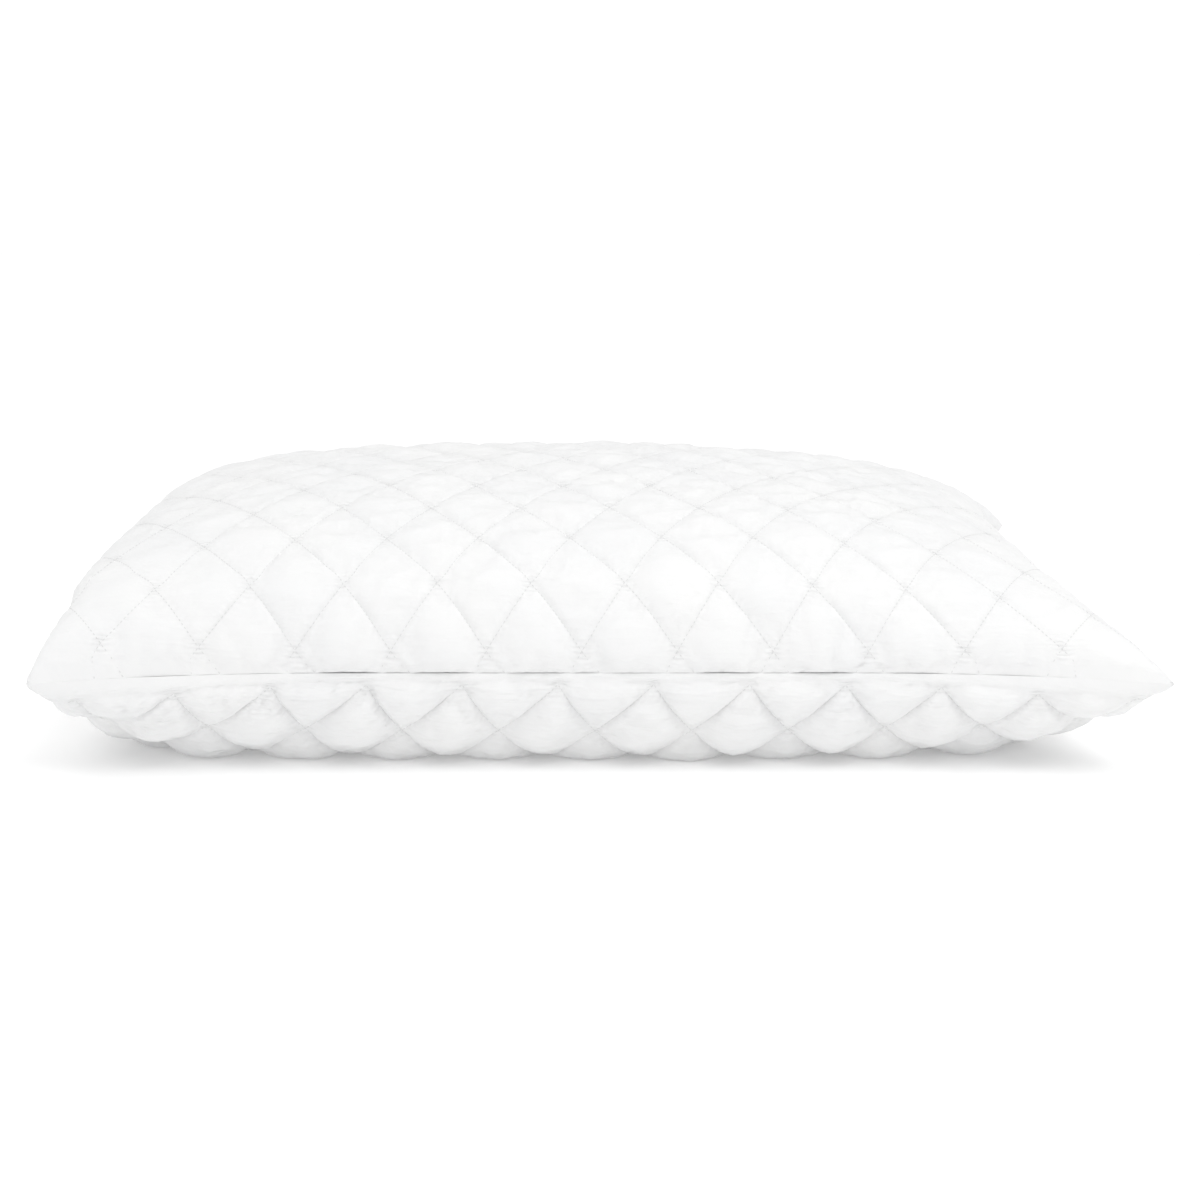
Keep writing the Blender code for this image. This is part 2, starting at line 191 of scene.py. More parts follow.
class Cloth:
    """The mesh lines of one panel: their places in cells, and u and v at every crossing."""

    def __init__(self, surface, diamond_length, phase):
        t = np.linspace(0.0, 1.0, 3001)
        fine = -1.0 + 2.0 * t**2 / (t**2 + (1.0 - t) ** 2)
        _, length = evenly(surface, np.zeros_like(fine), fine, np.zeros(1))
        self.phase = phase
        self.columns = DIAMONDS_ACROSS * CELLS
        self.rows = round(length / diamond_length * CELLS)
        self.i, self.j = np.meshgrid(finer_at_ends(self.columns), finer_at_ends(self.rows))
        a, b = 2 * self.i / self.columns - 1, 2 * self.j / self.rows - 1
        even_v, _ = evenly(surface, np.zeros_like(fine), fine, b[:, 0])
        self.u, self.v = np.zeros_like(a), np.zeros_like(b)
        for row, (plain, even) in enumerate(zip(b[:, 0], even_v)):
            level = plain + (1 - np.abs(fine) ** 6) * (even - plain)
            self.u[row], _ = evenly(surface, fine, level, a[row])
            self.v[row] = plain + (1 - np.abs(a[row]) ** 6) * (even - plain)
        self.rising = ((self.i - phase[0]) - (self.j - phase[1])) % CELLS
        self.falling = ((self.i - phase[0]) + (self.j - phase[1])) % CELLS
        cell = DIAMOND_WIDTH / CELLS, diamond_length / CELLS
        self.flat = np.stack([self.i * cell[0], self.j * cell[1]], -1)
        high = self.flat[-1, -1]
        self.from_left, from_right = self.flat[..., 0], high[0] - self.flat[..., 0]
        from_end = np.minimum(self.flat[..., 1], high[1] - self.flat[..., 1])
        self.from_side = np.minimum(self.from_left, from_right)
        self.from_seam = np.minimum(self.from_side, from_end)
        self.from_corner = np.hypot(self.from_side, from_end)
        self.by_zip = (self.from_left < ZIP_MARGIN) & (np.abs(self.v) < SLOT_CLOSED)

    def on_stitches(self):
        return (self.rising < 0.01) | (self.falling < 0.01)

    def puff(self):
        """The rounded height of each diamond, from 0 on its stitches to 1 in its middle."""
        both = np.sin(math.pi * self.rising / CELLS) * np.sin(math.pi * self.falling / CELLS)
        return np.clip(both, 0.0, 1.0) ** 0.5

    def uneven(self, rng, low, high):
        """A factor for each diamond, since no two are filled alike."""
        i0, j0 = self.phase
        count = (self.columns + self.rows) // CELLS + 4
        table = rng.uniform(low, high, (count, count))
        across = np.floor(((self.i - i0) - (self.j - j0)) / CELLS).astype(int)
        up = np.floor(((self.i - i0) + (self.j - j0)) / CELLS).astype(int)
        return table[across % count, up % count]


def grid_normals(points, outward):
    """A unit normal at each vertex of a grid of points."""
    across = np.gradient(points, axis=1)
    up = np.gradient(points, axis=0)
    normal = np.cross(across, up) * outward
    return normal / np.maximum(np.linalg.norm(normal, axis=-1, keepdims=True), 1e-12)


# ---------------------------------------------------------------- quilted panels


def panel_mesh(name, points, cloth, flip):
    """The grid as a mesh whose cells are cut along the stitch lines that cross them."""
    rows, columns = cloth.i.shape
    whole = (np.diff(cloth.i, axis=1)[:-1] == 1) & (np.diff(cloth.j, axis=0)[:, :-1] == 1)
    up, down = cloth.rising < 0.01, cloth.falling < 0.01
    index = np.arange(rows * columns).reshape(rows, columns)
    faces = []
    for j in range(rows - 1):
        for i in range(columns - 1):
            a, b, c, d = index[j, i], index[j, i + 1], index[j + 1, i + 1], index[j + 1, i]
            if whole[j, i] and up[j, i]:
                cut = ((a, b, c), (a, c, d))
            elif whole[j, i] and down[j, i + 1]:
                cut = ((a, b, d), (b, c, d))
            else:
                cut = ((a, b, c, d),)
            faces += [tuple(int(k) for k in (face[::-1] if flip else face)) for face in cut]
    mesh = bpy.data.meshes.new(name)
    mesh.from_pydata(points.reshape(-1, 3).tolist(), [], faces)
    layer = mesh.uv_layers.new(name="cloth")
    loop_vertex = np.zeros(len(mesh.loops), np.int32)
    mesh.loops.foreach_get("vertex_index", loop_vertex)
    layer.data.foreach_set("uv", cloth.flat.reshape(-1, 2)[loop_vertex].astype(np.float32).ravel())
    obj = bpy.data.objects.new(name, mesh)
    bpy.context.scene.collection.objects.link(obj)
    return obj


def blow_up(obj, held, start, pressure):
    """Runs the cloth and returns where its vertices end."""
    group = obj.vertex_groups.new(name="held")
    group.add([int(k) for k in np.flatnonzero(held.ravel())], 1.0, "REPLACE")
    cloth = obj.modifiers.new("cloth", "CLOTH")
    settings = cloth.settings
    settings.vertex_group_mass = "held"
    settings.pin_stiffness = 1.0
    settings.quality = 6
    settings.mass = 0.15
    settings.tension_stiffness = settings.compression_stiffness = 20.0
    settings.shear_stiffness = 8.0
    settings.bending_stiffness = 1.0
    settings.air_damping = 1.0
    settings.use_pressure = True
    settings.uniform_pressure_force = pressure
    settings.shrink_min = -SPARE_CLOTH
    settings.effector_weights.gravity = 0.0
    cloth.collision_settings.use_collision = False
    cloth.point_cache.frame_start, cloth.point_cache.frame_end = 1, SIM_FRAMES
    scene = bpy.context.scene
    scene.frame_start, scene.frame_end = 1, SIM_FRAMES
    for step in range(1, SIM_FRAMES + 1):
        scene.frame_set(step)
    settled = obj.evaluated_get(bpy.context.evaluated_depsgraph_get())
    ends = np.zeros(len(obj.data.vertices) * 3, np.float32)
    settled.data.vertices.foreach_get("co", ends)
    obj.modifiers.remove(cloth)
    obj.vertex_groups.remove(group)
    scene.frame_set(1)
    return ends.reshape(start.shape).astype(float)


def gathers(cloth, rng):
    """Short soft folds that run in from the seam, where the edge is drawn up along it."""
    x, y = cloth.flat[..., 0], cloth.flat[..., 1]
    from_end = np.minimum(y, y[-1, -1] - y)
    along_seam = np.where(from_end < cloth.from_side, x, y)
    a, b, c, d = rng.uniform(0, 2 * math.pi, 4)
    patches = 0.45 + 0.55 * np.sin(along_seam / GATHER_PATCH + a)
    patches = np.clip(patches + 0.3 * np.sin(along_seam / GATHER_SMALL_PATCH + b), 0, 1)
    folds = np.sin(along_seam / GATHER_WIDTH + 1.6 * np.sin(along_seam / GATHER_DRIFT + c) + d)
    reach = np.exp(-cloth.from_seam / GATHER_REACH) * np.clip(cloth.from_seam / GATHER_START, 0, 1)
    return GATHER_HEIGHT * patches * folds * reach


def panel_base(cloth, surface, under):
    """Where thread and seam hold the cloth, and the outward normals there."""
    base = surface(cloth.u, cloth.v)
    normals = grid_normals(base, -1.0 if under else 1.0)
    rng = np.random.default_rng(23 if under else 21)
    t = cloth.from_seam
    if under:
        offset = BAND_HEIGHT * np.sqrt(np.clip(1 - (2 * t / BAND_WIDTH - 1) ** 2, 0, 1))
    else:
        tuck = SEAM_TUCK * cloth.puff() * cloth.uneven(rng, LEAST_TUCKED, MOST_TUCKED)
        offset = np.where(t == 0, -tuck, 0.0)
    offset = offset * np.clip(cloth.from_corner / EAR, 0, 1) * ~cloth.by_zip
    offset = offset + gathers(cloth, rng) * ~cloth.by_zip
    crease = np.exp(-(((cloth.from_corner - EAR_CREASE_AT) / EAR_CREASE_WIDTH) ** 2))
    crease = EAR_CREASE * crease * np.clip(t / EAR_CREASE_START, 0, 1)
    offset = offset - crease * (1.0 if under else TOP_CREASE)
    return base + normals * offset[..., None], normals


def quilted_panel(name, surface, diamond_length, phase, under):
    """Returns the panel with its Cloth, where its vertices end, and which of them are stitched."""
    cloth = Cloth(surface, diamond_length, phase)
    base, normals = panel_base(cloth, surface, under)
    edge = BAND_WIDTH if under else 0.0
    rng = np.random.default_rng(7 if under else 3)
    stitched = cloth.on_stitches() & (cloth.from_corner > 0.4 * EAR)
    stitched &= (cloth.from_seam >= edge) & ~cloth.by_zip
    held = stitched | (cloth.from_seam <= edge) | cloth.by_zip
    height = cloth.puff() * cloth.uneven(rng, LEAST_FILLED, MOST_FILLED)
    height = height * np.clip((cloth.from_seam - edge) / PUFF_START, 0, 1) ** 0.4
    height *= np.clip((cloth.from_corner - 0.3 * EAR) / (0.7 * EAR), 0, 1)
    height = np.where(held, 0.0, height * (UNDER_PUFF if under else TOP_PUFF))
    taut = 1.0 if under else np.clip(SIDE_PUFF + (1 - SIDE_PUFF) * cloth.from_side / SIDE_REACH, 0, 1)
    height = height * taut
    height = height + np.where(held, 0.0, rng.normal(0, START_NOISE, height.shape))
    start = base + normals * height[..., None]
    obj = panel_mesh(name, start, cloth, flip=under)
    ends = blow_up(obj, held, start, UNDER_PRESSURE if under else TOP_PRESSURE)
    moved = ends - base
    length = np.linalg.norm(moved, axis=-1, keepdims=True)
    ends = base + moved * np.minimum(1.0, MOST_PUFF / np.maximum(length, 1e-9))
    if not under:
        ends = base + (ends - base) * taut[..., None]
    if under:
        ends[..., 2] = pressed_flat(ends[..., 2])
    obj.data.vertices.foreach_set("co", ends.astype(np.float32).ravel())
    obj.data.update()
    thick = obj.modifiers.new("cloth_thickness", "SOLIDIFY")
    thick.thickness, thick.offset = PANEL_THICK, -1.0
    solid = bpy.data.meshes.new_from_object(obj.evaluated_get(bpy.context.evaluated_depsgraph_get()))
    obj.modifiers.clear()
    obj.data = solid
    solid.shade_smooth()
    solid.set_sharp_from_angle(angle=math.radians(70))
    return obj, cloth, ends, stitched


def pressed_flat(z):
    """The floor stops the cloth, with a small rounding where it leaves the floor."""
    soft = 0.0012
    over = z - FLOOR_CLEARANCE
    rounded = FLOOR_CLEARANCE + (over + np.sqrt(over**2 + soft**2)) / 2 - soft / 8
    return np.maximum(FLOOR_CLEARANCE, np.where(z < 0.012, rounded, z))


# ---------------------------------------------------------------- thread and small pieces


def mesh_object(name, points, faces, angle=60.0):
    mesh = bpy.data.meshes.new(name)
    mesh.from_pydata(np.asarray(points, float).reshape(-1, 3).tolist(), [], faces)
    mesh.shade_smooth()
    mesh.set_sharp_from_angle(angle=math.radians(angle))
    obj = bpy.data.objects.new(name, mesh)
    bpy.context.scene.collection.objects.link(obj)
    return obj


def run_lengths(path):
    return np.concatenate([[0.0], np.cumsum(np.linalg.norm(np.diff(path, axis=0), axis=1))])


def read_between(run, rows, lengths):
    """Rows of three numbers at these lengths of a run, read between the rows that are known."""
    return np.stack([np.interp(lengths, run, rows[:, k]) for k in range(3)], -1)


def squarer(wave, power):
    """A sine or cosine with flatter tops, which turns a circle towards a square."""
    return np.sign(wave) * np.abs(wave) ** power


def stitches_along(path, normals, pitch):
    """Middle, direction and outward normal of each stitch along a line."""
    run = run_lengths(path)
    count = int(run[-1] / pitch)
    s = (np.arange(count) + 0.5) * pitch
    ahead = read_between(run, path, s + pitch / 3) - read_between(run, path, s - pitch / 3)
    direction = ahead / np.linalg.norm(ahead, axis=1, keepdims=True)
    normal = read_between(run, normals, s)
    normal -= direction * np.sum(normal * direction, axis=1, keepdims=True)
    normal /= np.linalg.norm(normal, axis=1, keepdims=True)
    return np.stack([read_between(run, path, s), direction, normal], 1)


def thread_object(name, lines, pitch=STITCH_PITCH, half=STITCH_HALF, radius=THREAD_RADIUS):
    """Stitches of thread whose two ends dip into the cloth. A line is its points and their normals."""
    each = np.concatenate([stitches_along(path, normals, pitch) for path, normals in lines])
    centre, direction, normal = each[:, 0], each[:, 1], each[:, 2]
    side = np.cross(direction, normal)
    stations = ((-1.0, -1.6, 0.5), (-0.45, 0.5, 1.0), (0.45, 0.5, 1.0), (1.0, -1.6, 0.5))
    rings = []
    for share, lift, thickness in stations:
        for angle in (0.0, 0.5, 1.0, 1.5):
            out = radius * (lift + thickness * math.cos(angle * math.pi))
            aside = radius * thickness * math.sin(angle * math.pi)
            rings.append(centre + direction * share * half + normal * out + side * aside)
    points = np.stack(rings, 1)
    one = [(a + b, a + (b + 1) % 4, a + 4 + (b + 1) % 4, a + 4 + b) for a in (0, 4, 8) for b in range(4)]
    one += [(3, 2, 1, 0), (12, 13, 14, 15)]
    faces = (np.arange(len(each))[:, None, None] * 16 + np.array(one)).reshape(-1, 4).tolist()
    return mesh_object(name, points, faces)


def quilting_lines(cloth, ends, stitched, outward):
    """Every line of quilting on a panel, and the seam that holds the zip to it."""
    normals = grid_normals(ends, outward)
    column = np.searchsorted(cloth.i[0], np.arange(cloth.columns + 1))
    row = np.searchsorted(cloth.j[:, 0], np.arange(cloth.rows + 1))
    i0, j0 = cloth.phase
    lines = []
    for slope in (1, -1):
        first = (i0 - slope * j0) % CELLS - (cloth.rows // CELLS + 1) * CELLS
        for start in range(first, cloth.columns + cloth.rows, CELLS):
            j = np.arange(cloth.rows + 1)
            i = start + slope * j
            inside = (i >= 0) & (i <= cloth.columns)
            r, c = row[j[inside]], column[i[inside]]
            sewn = stitched[r, c]
            r, c = r[sewn], c[sewn]
            if len(r) > 2:
                lines.append((ends[r, c], normals[r, c]))
    by_zip = np.flatnonzero(np.abs(cloth.v[:, column[2]]) < SLOT_CLOSED)
    lines.append((ends[by_zip, column[2]], normals[by_zip, column[2]]))
    return lines


def tube(path, radius, sides, axis):
    """A tube's points and faces. The path never runs along the axis."""
    ahead = np.gradient(path, axis=0)
    ahead /= np.linalg.norm(ahead, axis=1, keepdims=True)
    normal = np.cross(ahead, axis)
    normal /= np.linalg.norm(normal, axis=1, keepdims=True)
    side = np.cross(ahead, normal)
    angles = np.arange(sides) * 2 * math.pi / sides
    points = (
        path[:, None]
        + radius * np.cos(angles)[None, :, None] * normal[:, None]
        + radius * np.sin(angles)[None, :, None] * side[:, None]
    )
    here = np.arange(len(path) - 1)[:, None] * sides
    b, c = np.arange(sides), (np.arange(sides) + 1) % sides
    faces = np.stack([here + b, here + c, here + sides + c, here + sides + b], -1).reshape(-1, 4).tolist()
    last = (len(path) - 1) * sides
    return points.reshape(-1, 3), faces + [tuple(range(sides))[::-1], tuple(range(last, last + sides))]


# Zip, in from the cover's outside and above the zip's middle line
COIL_DEPTH, COIL_HEIGHT = (0.00384, 0.00566), (0.00058, 0.00214)
COIL_PITCH, COIL_STEPS, COIL_WIRE = 0.00135, 14, 0.00023
TAPE_DEPTH, TAPE_THICK = 0.0062, 0.0006
TAPE_HEIGHT = (0.00045, 0.0095)
TAPE_END = 0.1925


def add_coil(name, side):
    """One row of teeth: a nylon spiral, flattened, and half a pitch along from the other row's."""
    turns = int(2 * ZIP_END / COIL_PITCH) - 1
    t = np.arange(turns * COIL_STEPS + 1) / COIL_STEPS
    angle = 2 * math.pi * t
    mid_depth, half_depth = np.mean(COIL_DEPTH), (COIL_DEPTH[1] - COIL_DEPTH[0]) / 2
    mid_height, half_height = np.mean(COIL_HEIGHT), (COIL_HEIGHT[1] - COIL_HEIGHT[0]) / 2
    x = ZIP_X + mid_depth - half_depth * squarer(np.cos(angle), 0.75)
    z = ZIP_Z + side * (mid_height + half_height * squarer(np.sin(angle), 0.75))
    y = -ZIP_END + COIL_PITCH * (t + 0.35 + (0.25 if side > 0 else -0.25))
    points, faces = tube(np.stack([x, y, z], -1), COIL_WIRE, 6, np.array([0.0, 1.0, 0.0]))
    if side > 0:
        faces = [tuple(reversed(face)) for face in faces]
    return mesh_object(name, points, faces)


def closed_sheet(outer, inner):
    """Points and faces of a sheet between two grids of points, with its four edges closed."""
    rows, columns = outer.shape[:2]
    index = np.arange(rows * columns).reshape(rows, columns)
    shift = rows * columns
    quads = np.stack([index[:-1, :-1], index[:-1, 1:], index[1:, 1:], index[1:, :-1]], -1).reshape(-1, 4)
    edge = np.concatenate([index[0], index[1:, -1], index[-1, -2::-1], index[-2:0:-1, 0]])
    ahead = np.roll(edge, -1)
    rim = np.stack([edge, edge + shift, ahead + shift, ahead], -1)
    faces = np.concatenate([quads, quads[:, ::-1] + shift, rim])
    return np.concatenate([outer.reshape(-1, 3), inner.reshape(-1, 3)]), faces.tolist()


def outward_mesh(obj):
    """Turns a closed mesh the right way out."""
    bm = bmesh.new()
    bm.from_mesh(obj.data)
    bmesh.ops.recalc_face_normals(bm, faces=bm.faces)
    if bm.calc_volume(signed=True) < 0:
        bmesh.ops.reverse_faces(bm, faces=bm.faces)
    bm.to_mesh(obj.data)
    bm.free()
    return obj


def add_tape(name, side):
    """Woven tape: a thin strip that the teeth are sewn to."""
    lengthwise, across = np.linspace(-TAPE_END, TAPE_END, 240), np.linspace(*TAPE_HEIGHT, 14)
    y, h = np.meshgrid(lengthwise, across, indexing="ij")
    share = (h - TAPE_HEIGHT[0]) / (TAPE_HEIGHT[1] - TAPE_HEIGHT[0])
    sag = 0.00006 * np.sin(90 * y + 5 * share) * share
    x = ZIP_X + TAPE_DEPTH + sag
    outer = np.stack([x, y, ZIP_Z + side * h], -1)
    inner = outer + np.array([TAPE_THICK, 0.0, 0.0])
    return outward_mesh(mesh_object(name, *closed_sheet(outer, inner)))


def add_coil_thread(name, side):
    """Two rows of thread that sew a row of teeth to its tape."""
    y = np.linspace(-ZIP_END + 0.001, ZIP_END - 0.001, 60)
    out = np.tile([-1.0, 0.0, 0.0], (len(y), 1))
    lines = []
    for height in (0.00145, 0.0020):
        x, z = np.full_like(y, ZIP_X + COIL_DEPTH[0] - COIL_WIRE), np.full_like(y, ZIP_Z + side * height)
        lines.append((np.stack([x, y, z], -1), out))
    return thread_object(name, lines, pitch=COIL_PITCH, half=0.00058, radius=0.00014)


# Care label
LABEL_X, LABEL_WIDTH, LABEL_DROP = -0.115, 0.032, 0.038
LABEL_THICK, LABEL_FOLD, LABEL_SEWN_IN = 0.00022, 0.00030, 0.0015
LABEL_GAP, LABEL_FLARE = 0.0012, 0.004  # how clear it hangs of the puffs, and further out at its foot
LABEL_REACH = 0.004  # it hangs over the puffs that are this near
LABEL_ROWS, LABEL_COLUMNS = 30, 17


def add_label(under_ends):
    """A blank satin loop out of the back seam, folded at its foot, that hangs over the puffs."""
    _, seam_y, seam_z = (float(w) for w in middle(np.array(LABEL_X / HALF_X), np.array(1.0)))
    near = np.abs(under_ends[..., 0] - LABEL_X) < LABEL_WIDTH / 2 + LABEL_REACH
    near &= under_ends[..., 1] > 0
    y, z = under_ends[near][:, 1], under_ends[near][:, 2]
    down = np.linspace(0.0, 1.0, LABEL_ROWS)
    level = seam_z - 0.001 - LABEL_DROP * down
    outermost = [y[np.abs(z - h) < LABEL_REACH].max() for h in level]
    hang = seam_y + LABEL_GAP + LABEL_FLARE * down**2
    clear = np.maximum(hang, np.maximum.accumulate(np.array(outermost) + LABEL_GAP))
    bend = np.interp(down, [0, 0.05, 0.15, 1], [0, 0.4, 1.0, 1.0])
    smooth = np.convolve(np.pad(clear, 3, "edge"), np.ones(7) / 7, "valid")
    drape = seam_y - LABEL_SEWN_IN + bend * (smooth - seam_y + LABEL_SEWN_IN)
    side = np.linspace(-0.5, 0.5, LABEL_COLUMNS)
    rows = []
    for layer, order in ((0, range(LABEL_ROWS)), (1, reversed(range(LABEL_ROWS)))):
        for k in order:
            apart = (1 - 2 * layer) * LABEL_FOLD * (1.0 if k < LABEL_ROWS - 1 else 0.35)
            wave = 0.0006 * down[k] * np.sin(5.0 * side + 1.0) + 0.0004 * down[k] ** 2 * np.sin(11 * side)
            x, z = LABEL_X + side * LABEL_WIDTH, np.full(LABEL_COLUMNS, level[k])
            rows.append(np.stack([x, drape[k] + apart + wave, z], -1))
    middle_sheet = np.array(rows)
    out = grid_normals(middle_sheet, 1.0) * LABEL_THICK / 2
    return outward_mesh(mesh_object("care_label_loop", *closed_sheet(middle_sheet + out, middle_sheet - out)))


def smooth_noise(points, scale, seed):
    """A soft three-dimensional noise of a few crossing waves, from -1 to 1."""
    rng = np.random.default_rng(seed)
    total, count = 0.0, 9
    for _ in range(count):
        wave = rng.normal(0, 1, 3)
        wave *= 2 * math.pi / scale / np.linalg.norm(wave) * rng.uniform(0.6, 1.6)
        total = total + np.sin(points @ wave + rng.uniform(0, 2 * math.pi))
    return total / (count / 2)


def closed_pillow(name, depth, inset, bumps, seed):
    """A stuffed form that fills the cover from a depth inwards, with lumps (height, scale)."""
    u = np.sin(np.linspace(-1, 1, 121) * math.pi / 2)
    v = np.sin(np.linspace(-1, 1, 97) * math.pi / 2)
    u, v = np.meshgrid(u, v)
    faces = []
    for surface in (top_surface, under_surface):
        points = surface(u, v, depth, inset, slot=0.0)
        normals = grid_normals(points, -1.0)
        fade = ((1 - u**2) * (1 - v**2)) ** 0.5
        inwards = -1.0 if surface is under_surface else 1.0
        for height, scale in bumps:
            lump = (smooth_noise(points, scale, seed) - 1) * height * fade
            points = points - normals * (inwards * lump)[..., None]
        faces.append(points)
    return outward_mesh(mesh_object(name, *closed_sheet(*faces)))


def seam_path(inset, closed):
    """Points along the seam, in from the outline: all the way round, or all but the zip's side."""
    t = np.linspace(-1, 1, 161)
    one = np.ones_like(t)
    sides = [(t, -one), (one, t), (-t, one)] + ([(-one, -t)] if closed else [])
    return np.concatenate([np.stack(middle(u, v, inset), -1)[:-1] for u, v in sides])


# Overlocked edges: a strip, and the thread that is wound over it
STRIP_HALF, WRAP_HALF = 0.0004, 0.00052
WRAP_PITCH, WRAP_STEPS, WRAP_THREAD = 0.003, 8, 0.00013
NEVER_ALONG = np.array([0.0173, 0.0311, 0.9994])  # the thread never runs in this direction


def overlocked_edge(name, near, far, closed):
    """A seam allowance as a flat strip, wrapped in overlock thread."""
    inner, outer = seam_path(near, closed), seam_path(far, closed)
    if closed:
        inner, outer = np.concatenate([inner, inner[:1]]), np.concatenate([outer, outer[:1]])
    thick = np.array([0, 0, STRIP_HALF])
    strip = np.stack([inner, outer], 1)
    points, faces = closed_sheet(strip + thick, strip - thick)
    run = run_lengths((inner + outer) / 2)
    turns = int(run[-1] / WRAP_PITCH)
    steps = np.arange(turns * WRAP_STEPS) / WRAP_STEPS
    s = steps / turns * run[-1]
    across = 0.5 + 0.46 * np.cos(2 * math.pi * steps)
    near_side, far_side = read_between(run, inner, s), read_between(run, outer, s)
    wrap = near_side * (1 - across[:, None]) + far_side * across[:, None]
    wrap[:, 2] += WRAP_HALF * squarer(np.sin(2 * math.pi * steps), 0.3)
    more, loops = tube(wrap, WRAP_THREAD, 4, NEVER_ALONG)
    shift = len(points)
    faces += [tuple(k + shift for k in face) for face in loops]
    return outward_mesh(mesh_object(name, np.concatenate([points, more]), faces))


# ---------------------------------------------------------------- materials


class Nodes:
    """Short names for building a material's nodes."""

    def __init__(self, name):
        self.material = bpy.data.materials.new(name)
        self.material.use_nodes = True
        self.tree = self.material.node_tree
        self.shader = self.tree.nodes["Principled BSDF"]

    def add(self, kind, inputs=(), **settings):
        node = self.tree.nodes.new(kind)
        for key, value in settings.items():
            setattr(node, key, value)
        for socket, value in dict(inputs).items():
            if isinstance(value, bpy.types.NodeSocket):
                self.tree.links.new(value, node.inputs[socket])
            else:
                node.inputs[socket].default_value = value
        return node

    def math(self, operation, a, b=0.0):
        return self.add("ShaderNodeMath", {0: a, 1: b}, operation=operation).outputs[0]

    def link(self, output, socket):
        self.tree.links.new(output, self.shader.inputs[socket])


YARN_PITCH = 0.00045
STITCH_STEP = 0.0034  # the wrinkles stacked where two stitch lines cross
TOP_SLACK, UNDER_SLACK = 0.8, 2.6  # how strong the level creases between the stitch lines are


def pucker_height(n, cloth, axes, diamond_length, phase, slack):
    """Little wrinkles: across the stitch lines, stacked where two cross, and slack ones between."""
    total, crossing = None, None
    for slope in (1, -1):
        x = n.math("DIVIDE", axes.outputs[0], DIAMOND_WIDTH)
        y = n.math("MULTIPLY", axes.outputs[1], -slope / diamond_length)
        start = (phase[0] - slope * phase[1]) / CELLS
        from_line = n.math("PINGPONG", n.math("SUBTRACT", n.math("ADD", x, y), start), 0.5)
        near = n.add("ShaderNodeMapRange", {0: from_line, 1: 0.0, 2: 0.20, 3: 1.0, 4: 0.0})
        near.interpolation_type = "SMOOTHSTEP"
        turn = -slope * math.atan2(diamond_length, DIAMOND_WIDTH)
        turned = n.add("ShaderNodeVectorRotate", {"Vector": cloth, "Angle": turn}, rotation_type="Z_AXIS")
        stretched = {"Vector": turned.outputs[0], "Scale": (260.0, 34.0, 1.0)}
        drawn = n.add("ShaderNodeMapping", stretched).outputs[0]
        ripple = n.add("ShaderNodeTexNoise", {"Vector": drawn, "Scale": 1.0, "Detail": 2.0}).outputs[0]
        height = n.math("MULTIPLY", ripple, near.outputs[0])
        total = height if total is None else n.math("ADD", total, height)
        both = near.outputs[0]
        crossing = both if crossing is None else n.math("MULTIPLY", crossing, both)
    bent = n.add("ShaderNodeTexNoise", {"Vector": cloth, "Scale": 90.0, "Detail": 1.0}).outputs[0]
    steps = n.math("MULTIPLY", axes.outputs[1], 2 * math.pi / STITCH_STEP)
    steps = n.math("ADD", steps, n.math("MULTIPLY", bent, 7.0))
    ladder = n.math("MULTIPLY", n.math("MULTIPLY", n.math("SINE", steps), crossing), 0.5)
    level = n.add("ShaderNodeMapping", {"Vector": cloth, "Scale": (42.0, 230.0, 1.0)}).outputs[0]
    creases = n.add("ShaderNodeTexNoise", {"Vector": level, "Scale": 1.0, "Detail": 2.0}).outputs[0]
    return n.math("ADD", n.math("ADD", total, ladder), n.math("MULTIPLY", creases, slack))


def cotton_material(name, diamond_length, phase, slack):
    """Percale: a plain weave on the cloth's own coordinates, slubs, and puckers at the stitches."""
    n = Nodes(name)
    cloth = n.add("ShaderNodeUVMap", uv_map="cloth").outputs[0]
    across = n.add("ShaderNodeSeparateXYZ", {0: cloth})
    yarns = 2 * math.pi / YARN_PITCH
    warp = n.math("SINE", n.math("MULTIPLY", across.outputs[0], yarns))
    weft = n.math("SINE", n.math("MULTIPLY", across.outputs[1], yarns))
    weave = n.math("MULTIPLY", warp, weft)
    slubs = n.add("ShaderNodeTexNoise", {"Vector": cloth, "Scale": 900.0, "Detail": 3.0}).outputs[0]
    crumpled = {"Vector": cloth, "Scale": 170.0, "Detail": 4.0, "Roughness": 0.55}
    crumple = n.add("ShaderNodeTexNoise", crumpled).outputs[0]
    yarn = n.math("ADD", weave, slubs)
    fine = n.add("ShaderNodeBump", {"Strength": 0.35, "Distance": 0.00006, "Height": yarn})
    soft = n.add(
        "ShaderNodeBump", {"Strength": 0.30, "Distance": 0.0009, "Height": crumple, "Normal": fine.outputs[0]}
    )
    puckers = pucker_height(n, cloth, across, diamond_length, phase, slack)
    bump = n.add(
        "ShaderNodeBump", {"Strength": 0.55, "Distance": 0.0011, "Height": puckers, "Normal": soft.outputs[0]}
    )
    n.link(bump.outputs[0], "Normal")
    tone = n.add("ShaderNodeTexNoise", {"Vector": cloth, "Scale": 14.0, "Detail": 5.0}).outputs[0]
    colour = n.add("ShaderNodeValToRGB", {0: tone})
    colour.color_ramp.elements[0].position, colour.color_ramp.elements[1].position = 0.35, 0.65
    colour.color_ramp.elements[0].color = (0.845, 0.847, 0.849, 1)
    colour.color_ramp.elements[1].color = (0.865, 0.865, 0.863, 1)
    n.link(colour.outputs[0], "Base Color")
    n.shader.inputs["Roughness"].default_value = 0.85
    n.shader.inputs["Specular IOR Level"].default_value = 0.25
    n.shader.inputs["Sheen Weight"].default_value = 0.20
    n.shader.inputs["Sheen Roughness"].default_value = 0.45
    return n.material


